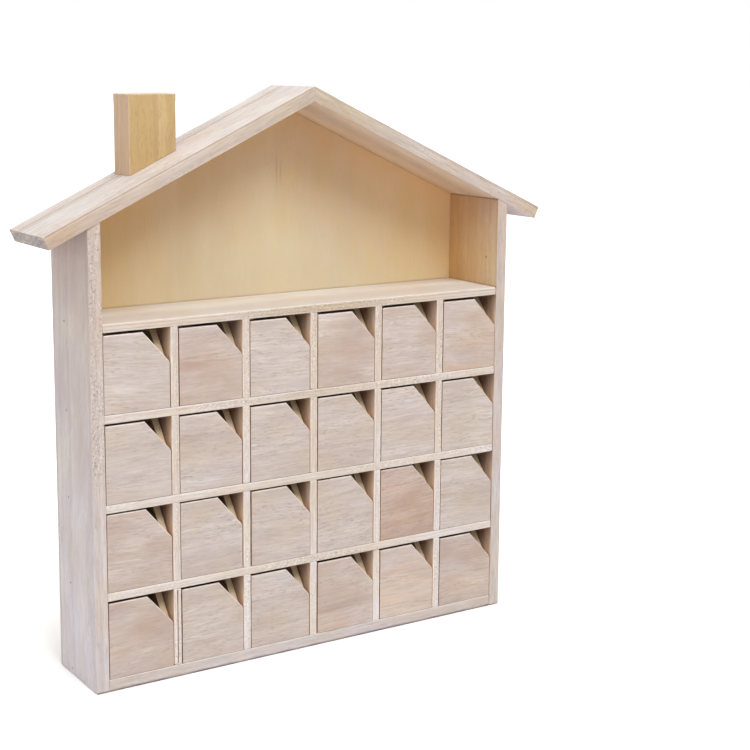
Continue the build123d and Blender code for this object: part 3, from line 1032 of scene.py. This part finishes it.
class CALENDAR_OT_side_panels(bpy.types.Operator):
    """The two upright side panels, bevelled to the roof, with the pits of their brads"""

    bl_idname = "calendar.side_panels"
    bl_label = "Side panels"

    def execute(self, context):
        slope = math.tan(sizes().roof_pitch)
        attic_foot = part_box("attic_shelf")[0].z
        end = wood("side_end", "end", "end", "along_z", 43)
        inner_slot, bay_slot = 3, 4
        for side, sign, seed, fuzz, aged_and_shaded in (
            ("left", -1, 11, 0.56, "carcass"),
            ("right", 1, 12, 0.0, "right_rim"),
        ):
            node = f"{side}_side_panel"
            low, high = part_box(node)
            outer, inside = (low.x, high.x) if side == "left" else (high.x, low.x)
            outer_top = high.z - slope * abs(outer - inside)
            outline = [(outer, low.z), (inside, low.z), (inside, high.z), (outer, outer_top)]
            finishes = [
                # The outer faces carry painted shade towards the roof and a painted shadow of the eave
                wood(f"{side}_side_face", "side", "panel", "along_z", seed, wear_and_highlight=0.2, aged_and_shaded="panel"),
                wood(f"{side}_side_edge", "edge", "sawn", "along_z", seed + 30, fuzz, wear_and_highlight=0.3, aged_and_shaded=aged_and_shaded),
                end,
                # The inner faces: a darker, warmer copy of the wood, with painted shade towards the back and
                # under the roof
                wood(f"{side}_side_inner", "inner", "calm", "along_z", seed + 35, aged_and_shaded="attic"),
                wood(f"{side}_side_bay", "divider", "planed", "along_z", seed + 37, aged_and_shaded="end_bay"),
            ]
            paint = [(RIGHT * sign, 0), (LEFT * sign, inner_slot), (FRONT, 1), (BACK, 1), (UP, 2), (DOWN, 2)]
            nick = sizes().torn_nick if fuzz else sizes().edge_nick
            special = [
                Eased(lambda co: near(co.x, outer) and near(co.y, low.y), sizes().corner_round, segments=5),
                # The foot's eased edge: a painted contact shadow
                Eased(lambda co: near(co.z, low.z), sizes().foot_round, dirt=FOOT_SHADOW),
            ]
            panel = board(outline, "Y", (low.y, high.y), paint, seed, nick, RIGHT * sign, special)
            for strip in panel.faces:
                if strip.material_index == inner_slot and strip.calc_center_median().z < attic_foot:
                    strip.material_index = bay_slot
            piece = add_piece(f"{side}_side_board", [panel], finishes, "house", node)
            drill_pits(piece, "side_brads", "X", outer)
        return {"FINISHED"}


class CALENDAR_OT_shelves(bpy.types.Operator):
    """The bottom board, the attic shelf and the three slotted row shelves"""

    bl_idname = "calendar.shelves"
    bl_label = "Shelves and bottom"

    def execute(self, context):
        face = wood("shelf_face", "shelf", "planed", "along_x", 21)
        edge = wood("shelf_edge", "lip", "sawn", "along_x", 22, fuzz=0.3, ply=0.15, aged_and_shaded="shelf_lip")
        attic = wood("attic_edge", "lip", "sawn", "along_x", 23, fuzz=0.7, ply=0.45, aged_and_shaded="attic_lip")
        bottom = wood("bottom_edge", "edge", "sawn", "along_x", 24, aged_and_shaded="sole")
        paint = plain_paint("Z")
        torn = sizes().torn_nick
        for node, name, finish, seed, dirt in (
            ("bottom_board", "bottom_plank", bottom, 31, 0.0),
            ("attic_shelf", "attic_floor", attic, 32, ATTIC_GLUE),
        ):
            low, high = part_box(node)
            special = [
                Eased(lambda co: near(co.y, high.y) and near(co.z, high.z), sizes().rear_round, dirt=dirt),
                # The foot's eased edge: a painted contact shadow
                Eased(lambda co: near(co.z, 0) and near(co.y, low.y), sizes().foot_round, dirt=FOOT_SHADOW),
            ]
            outline = box_outline(low.xy, high.xy)
            plank = board(outline, "Z", (low.z, high.z), paint, seed, torn, special=special)
            add_piece(name, [plank], [face, finish], "house", node)
        outline = slotted_shelf(*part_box("row_shelves"))
        first, step = shelf_steps()
        planks = []
        for level in range(ROWS - 1):
            foot = first + level * step
            ends = (foot, foot + sizes().shelf_thickness)
            planks.append(board(outline, "Z", ends, paint, 33 + level, torn))
        add_piece("row_shelf_boards", planks, [face, edge], "house", "row_shelves")
        return {"FINISHED"}


class CALENDAR_OT_dividers(bpy.types.Operator):
    """The five column dividers, slotted from the front over the row shelves"""

    bl_idname = "calendar.dividers"
    bl_label = "Column dividers"

    def execute(self, context):
        # The dividers' faces: a lighter copy of the wood, with the painted shadow of the shelf above
        face = wood("divider_face", "divider", "planed", "along_z", 51, aged_and_shaded="bay")
        edge = wood("divider_edge", "lip", "sawn", "along_z", 52, fuzz=0.36, ply=0.2, aged_and_shaded="carcass")
        node = "column_dividers"
        low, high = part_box(node)
        outline = slotted_divider(low, high)
        thick = sizes().divider_thickness
        torn = sizes().torn_nick
        boards = []
        for place, x in enumerate(divider_places()):
            boards.append(board(outline, "X", (x, x + thick), plain_paint("X"), 61 + place, torn))
        piece = add_piece("column_divider_boards", boards, [face, edge], "house", node)
        first = shelf_steps()[0]
        tall = first - low.z - sizes().split_rest
        middle = Vector((low.x + thick / 2, low.y, (low.z + first) / 2))
        open_split(piece, middle, Vector((sizes().split_width, 2 * sizes().split_depth, tall)))
        return {"FINISHED"}


class CALENDAR_OT_back_panel(bpy.types.Operator):
    """The house-shaped plywood back, with the pits of its brads"""

    bl_idname = "calendar.back_panel"
    bl_label = "Back panel"

    def execute(self, context):
        low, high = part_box("back_panel")
        corner = high.z - math.tan(sizes().roof_pitch) * high.x
        outline = [(low.x, low.z), (high.x, low.z), (high.x, corner), (0, high.z), (low.x, corner)]
        finishes = [
            # The niche's back carries painted shade towards the ridge and painted warm bounce light at the
            # sides
            wood("back_face", "ply", "sheet", "along_z", 71, aged_and_shaded="niche"),
            wood("back_edge", "edge", "sawn", "along_z", 72, fuzz=0.2, ply=0.15),
            wood("back_rear", "rear", "backing", "along_z", 74),
        ]
        paint = [(FRONT, 0), (BACK, 2), (LEFT, 1), (RIGHT, 1), (UP, 1), (DOWN, 1)]
        panel = board(outline, "Y", (low.y, high.y), paint, 73)
        piece = add_piece("back_sheet", [panel], finishes, "house", "back_panel")
        drill_pits(piece, "back_brads", "Y", high.y)
        return {"FINISHED"}


class CALENDAR_OT_roof(bpy.types.Operator):
    """The two roof boards, each glued up from two strips and mitred at the ridge"""

    bl_idname = "calendar.roof"
    bl_label = "Roof boards"

    def execute(self, context):
        pitch = sizes().roof_pitch
        thick = sizes().roof_thickness
        rise = thick / math.cos(pitch)
        slope = math.tan(pitch)
        for side, sign, seed, wear_and_highlight in (("left", -1, 81, 0.6), ("right", 1, 85, 0.1)):
            node = f"{side}_roof_board"
            low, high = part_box(node)
            eave = max(abs(low.x), abs(high.x))
            tip = high.z - eave * slope
            under_x = eave - thick * math.sin(pitch)
            outline = [(0, high.z - rise), (0, high.z), (sign * eave, tip), (sign * under_x, low.z)]
            turn = (0, -sign * pitch, 0)
            finishes = [
                wood(f"{side}_roof_face", "roof", "roof", turn, seed, wear_and_highlight=wear_and_highlight, dark_wear=True),
                wood(f"{side}_roof_edge", "gable", "sawn", turn, seed + 1, fuzz=0.16, wear_and_highlight=wear_and_highlight,
                     dark_wear=True, aged_and_shaded=f"{side}_gable"),
                wood(f"{side}_roof_end", "end", "end", turn, seed + 2),
                # The undersides carry painted shade inside the house and towards the back
                wood(f"{side}_roof_under", "under", "sawn", turn, seed + 3, aged_and_shaded="ceiling"),
            ]
            over = Vector((sign * math.sin(pitch), 0, math.cos(pitch)))
            outward = Vector((sign * math.cos(pitch), 0, -math.sin(pitch)))
            paint = [(over, 0), (FRONT, 1), (BACK, 1), (outward, 2), (-over, 3), (RIGHT * -sign, 2)]
            seam = low.y + sizes().glue_line_share * (high.y - low.y)

            def on_top(co):
                return near(co.z, high.z - abs(co.x) * slope)

            special = [
                Eased(lambda co: near(co.y, seam) and on_top(co), sizes().seam_round, dirt=SEAM_GLUE),
                Eased(lambda co: near(co.y, seam) or near(co.x, 0), sizes().mitre_round, dirt=MITRE_GLUE),
            ]
            if side == "left":
                lip = Eased(lambda co: near(co.y, low.y) and on_top(co), sizes().lip_round, dirt=LIP_GLUE)
                special.insert(0, lip)
            nick = sizes().planed_nick
            strips = [
                board(outline, "Y", (low.y, seam), paint, seed, nick, special=special),
                board(outline, "Y", (seam, high.y), paint, seed + 7, nick, special=special),
            ]
            add_piece(f"{side}_roof_strips", strips, finishes, "house", node)
        return {"FINISHED"}


class CALENDAR_OT_chimney(bpy.types.Operator):
    """The solid chimney block, its foot cut to the left slope"""

    bl_idname = "calendar.chimney"
    bl_label = "Chimney"

    def execute(self, context):
        low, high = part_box("chimney")
        near_foot = low.z + math.tan(sizes().roof_pitch) * (high.x - low.x)
        outline = [(low.x, low.z), (high.x, near_foot), (high.x, high.z), (low.x, high.z)]
        finishes = [
            wood("chimney_face", "chimney", "block", "along_z", 91),
            wood("chimney_flank", "flank", "block", "along_z", 92),
            wood("chimney_end", "flank", "end", "along_z", 93),
        ]
        paint = [(FRONT, 0), (BACK, 0), (LEFT, 1), (RIGHT, 1), (UP, 2), (DOWN, 2)]
        block = board(outline, "Y", (low.y, high.y), paint, 94)
        add_piece("chimney_stack", [block], finishes, "house", "chimney")
        return {"FINISHED"}


class CALENDAR_OT_brads(bpy.types.Operator):
    """The finish of the brads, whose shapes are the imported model's own"""

    bl_idname = "calendar.brads"
    bl_label = "Brads"

    def execute(self, context):
        finish = scratched_steel("brad_steel")
        for node in ("side_brads", "back_brads"):
            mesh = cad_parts[node].data
            mesh.materials.clear()
            mesh.materials.append(finish)
        return {"FINISHED"}


class CALENDAR_OT_drawer_fronts(bpy.types.Operator):
    """The 24 drawer fronts, each with its top right corner cut off for a fingertip"""

    bl_idname = "calendar.drawer_fronts"
    bl_label = "Drawer fronts"

    def execute(self, context):
        sawn = {"cut": "core", "figure": "sawn", "grain": "along_x", "fuzz": 0.3, "ply": 0.4, "wear_and_highlight": 0.1}
        edge = wood("front_edge", seed=101, **sawn)
        # The tops of the fronts carry painted shade in the slot under the shelf above
        top_edge = wood("front_top", seed=102, aged_and_shaded="slot", **sawn)
        # The eased edges at the top and the notch belong to the face, so those two directions count for less
        lesser = 0.4
        paint = [(FRONT, 0), (BACK, 0), (LEFT, 1), (RIGHT * lesser, 1), (UP * lesser, 2), (DOWN, 1)]
        for number, drawer in enumerate(DRAWERS, 1):
            node = f"{drawer}_front"
            low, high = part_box(node)
            face = self.face(number, drawer, low, high)
            top = high.z - ROW_SHRINKAGE[(number - 1) // COLUMNS] * sizes().front_shrink
            shoulder = high.z - sizes().notch_height
            outline = [(low.x, low.z), (high.x, low.z), (high.x, shoulder)]
            outline += [(high.x - sizes().notch_width, top), (low.x, top)]

            def along_top(co):
                slanted = co.x > low.x + MM and co.z > shoulder - TOUCHING
                return near(co.y, low.y) and (slanted or near(co.z, top))

            def along_foot(co):
                return near(co.z, low.z) and near(co.y, low.y)

            special = [
                # Rubbing and a painted highlight along the top and the notch of the front
                Eased(along_top, sizes().top_round, rubbing=TOP_RUB_AND_HIGHLIGHT),
                Eased(along_foot, sizes().sill_round, dirt=SILL_DARKENING),
            ]
            front = board(outline, "Y", (low.y, high.y), paint, number, special=special)
            finishes = [face, edge, top_edge]
            shift = drawer_shift(number)
            add_piece(f"{drawer}_face_board", [front], finishes, drawer, node, shift)
        return {"FINISHED"}

    def face(self, number, drawer, low, high):
        """The finish of one front, with its own sheet, lean of the grain and stains."""
        cut = "warm" if number in WARM_FRONTS else "red" if number in RED_FRONTS else "front"
        lean = math.radians(random.Random(200 + number).uniform(-4, 4))
        stains = []
        for across, up, *stain in STAINS.get(number, ()):
            x = low.x + across * (high.x - low.x)
            stains.append((Vector((x, low.y, low.z + up * (high.z - low.z))), *stain))
        return wood(f"{drawer}_face", cut, "veneer", (0, lean, 0), 300 + number, stains=stains)


class CALENDAR_OT_drawer_trays(bpy.types.Operator):
    """The 24 drawer trays: two sides, a back and a bottom each"""

    bl_idname = "calendar.drawer_trays"
    bl_label = "Drawer trays"

    def execute(self, context):
        finishes = [
            wood("tray_face", "tray", "planed", "along_y", 111),
            wood("tray_edge", "rim", "sawn", "along_y", 112, fuzz=0.2, ply=0.3),
            # The slanted cuts: a lighter copy of the sawn edges, with painted shade deeper into the notch
            wood("tray_cut", "cut", "sawn", "along_y", 113, fuzz=0.2, ply=0.25, aged_and_shaded="cut"),
        ]
        wall, base = sizes().wall_thickness, sizes().base_thickness
        notch_run, notch_height = sizes().notch_run, sizes().notch_height
        upright, rear, flat = [plain_paint(axis) for axis in AXES]
        notched = upright + [(Vector((0, -notch_height, notch_run)).normalized(), 2)]
        for number, drawer in enumerate(DRAWERS, 1):
            node = f"{drawer}_tray"
            low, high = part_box(node)
            left_in, right_in, back_in = low.x + wall, high.x - wall, high.y - wall
            left_outline = box_outline(low.yz, high.yz)
            right_outline = [(low.y, low.z), (high.y, low.z), (high.y, high.z)]
            right_outline += [(low.y + notch_run, high.z), (low.y, high.z - notch_height)]
            rear_outline = box_outline((left_in, low.z), (right_in, high.z))
            base_outline = box_outline((left_in, low.y), (right_in, back_in))

            def along_gap(co):
                risen = (co.z - high.z) / notch_height + 1
                level = near(co.y - low.y, risen * notch_run)
                return near(co.x, high.x) and level and 0 < risen < 1

            # A painted shade line in the gap between the slanted cut and the divider
            gap = Eased(along_gap, sizes().gap_round, dirt=GAP_SHADE)
            boards = [
                board(left_outline, "X", (low.x, left_in), upright, number),
                board(right_outline, "X", (right_in, high.x), notched, number + 30, special=[gap]),
                board(rear_outline, "Y", (back_in, high.y), rear, number + 60),
                board(base_outline, "Z", (low.z, low.z + base), flat, number + 90),
            ]
            shift = drawer_shift(number)
            add_piece(f"{drawer}_tray_boards", boards, finishes, drawer, node, shift)
        return {"FINISHED"}


def seen_rays(tree):
    """1 for a ray that shows the background: from the camera, or by way of gloss or glass."""
    path = add(tree, "LightPath").outputs
    mirrored = maths(tree, "MAXIMUM", path["Is Glossy Ray"], path["Is Transmission Ray"])
    return maths(tree, "MAXIMUM", path["Is Camera Ray"], mirrored)


class CALENDAR_OT_stage(bpy.types.Operator):
    """The pale floor, the soft light and the camera"""

    bl_idname = "calendar.stage"
    bl_label = "Stage"

    def execute(self, context):
        scene = context.scene
        scene.view_settings.view_transform = "Standard"
        settings = scene.calendar_stage
        self.lay_floor(settings)
        self.light_world(scene, settings)
        self.hang_lamps(settings)
        camera = new_object("camera", bpy.data.cameras.new("camera"))
        camera.location = settings.camera_place
        camera.rotation_euler = (math.pi / 2 - settings.camera_tilt, 0, -settings.camera_turn)
        camera.data.lens = settings.lens
        camera.data.shift_x, camera.data.shift_y = settings.shift
        scene.camera = camera
        return {"FINISHED"}

    def lay_floor(self, settings):
        bm = bmesh.new()
        squares = FLOOR_SQUARES
        bmesh.ops.create_grid(bm, x_segments=squares, y_segments=squares, size=FLOOR_HALF_SIDE)
        floor = new_object("floor", mesh_from(bm, "floor"))
        material, tree, shader = new_material("floor")
        looks = {"Base Color": tone_of("floor"), "Roughness": FLOOR_ROUGHNESS, "Specular IOR Level": 0.0}
        feed(tree, shader, looks)
        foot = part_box("bottom_board")[1].xy
        apart = vectors(tree, "SUBTRACT", vectors(tree, "ABSOLUTE", surface(tree)), (*foot, 0))
        apart = vectors(tree, "MAXIMUM", apart)
        distance = vectors(tree, "LENGTH", apart, result="Value")
        lift = spread(tree, distance, 0.0, settings.floor_reach, settings.floor_lift, 1.0)
        glow = add(tree, "Emission", {"Strength": times(tree, seen_rays(tree), lift)})
        both = add(tree, "AddShader", {0: shader.outputs[0], 1: glow.outputs[0]})
        tree.links.new(both.outputs[0], tree.nodes["Material Output"].inputs["Surface"])
        floor.data.materials.append(material)

    def light_world(self, scene, settings):
        world = bpy.data.worlds.new("studio")
        scene.world = world
        world.use_nodes = True
        tree = world.node_tree
        tree.nodes.clear()
        even = add(tree, "Background", {"Color": (1, 1, 1, 1), "Strength": settings.world_light})
        seen = add(tree, "Background", {"Color": (1, 1, 1, 1), "Strength": 1.0})
        mix = add(tree, "MixShader", {0: seen_rays(tree), 1: even.outputs[0], 2: seen.outputs[0]})
        add(tree, "OutputWorld", {"Surface": mix.outputs[0]})

    def hang_lamps(self, settings):
        middle = (CAD_BOX[0] + CAD_BOX[1]) / 2
        for name, (place, width) in LAMPS.items():
            lamp = new_object(name, bpy.data.lights.new(name, "AREA"))
            lamp.data.size = width
            lamp.data.energy = getattr(settings, f"{name}_power")
            lamp.location = place
            lamp.rotation_euler = (middle - Vector(place)).to_track_quat("-Z", "Y").to_euler()


BUILDERS = (
    CALENDAR_OT_side_panels,
    CALENDAR_OT_shelves,
    CALENDAR_OT_dividers,
    CALENDAR_OT_back_panel,
    CALENDAR_OT_roof,
    CALENDAR_OT_chimney,
    CALENDAR_OT_brads,
    CALENDAR_OT_drawer_fronts,
    CALENDAR_OT_drawer_trays,
    CALENDAR_OT_stage,
)


class CALENDAR_PT_sidebar(bpy.types.Panel):
    """Lists the pieces of the calendar"""

    bl_idname = "CALENDAR_PT_sidebar"
    bl_label = "Advent calendar"
    bl_space_type = "VIEW_3D"
    bl_region_type = "UI"
    bl_category = "Calendar"

    def draw(self, context):
        column = self.layout.column(align=True)
        for builder in BUILDERS:
            column.operator(builder.bl_idname)


CLASSES = (CalendarSizes, CalendarTints, CalendarStage, *BUILDERS, CALENDAR_PT_sidebar)


def register():
    for cls in CLASSES:
        bpy.utils.register_class(cls)
    bpy.types.Scene.calendar_sizes = PointerProperty(type=CalendarSizes)
    bpy.types.Scene.calendar_tints = PointerProperty(type=CalendarTints)
    bpy.types.Scene.calendar_stage = PointerProperty(type=CalendarStage)


def unregister():
    del bpy.types.Scene.calendar_stage
    del bpy.types.Scene.calendar_tints
    del bpy.types.Scene.calendar_sizes
    for cls in reversed(CLASSES):
        bpy.utils.unregister_class(cls)


def main():
    register()
    bpy.ops.calendar.side_panels()
    bpy.ops.calendar.shelves()
    bpy.ops.calendar.dividers()
    bpy.ops.calendar.back_panel()
    bpy.ops.calendar.roof()
    bpy.ops.calendar.chimney()
    bpy.ops.calendar.brads()
    bpy.ops.calendar.drawer_fronts()
    bpy.ops.calendar.drawer_trays()
    bpy.ops.calendar.stage()


if __name__ == "__main__":
    main()
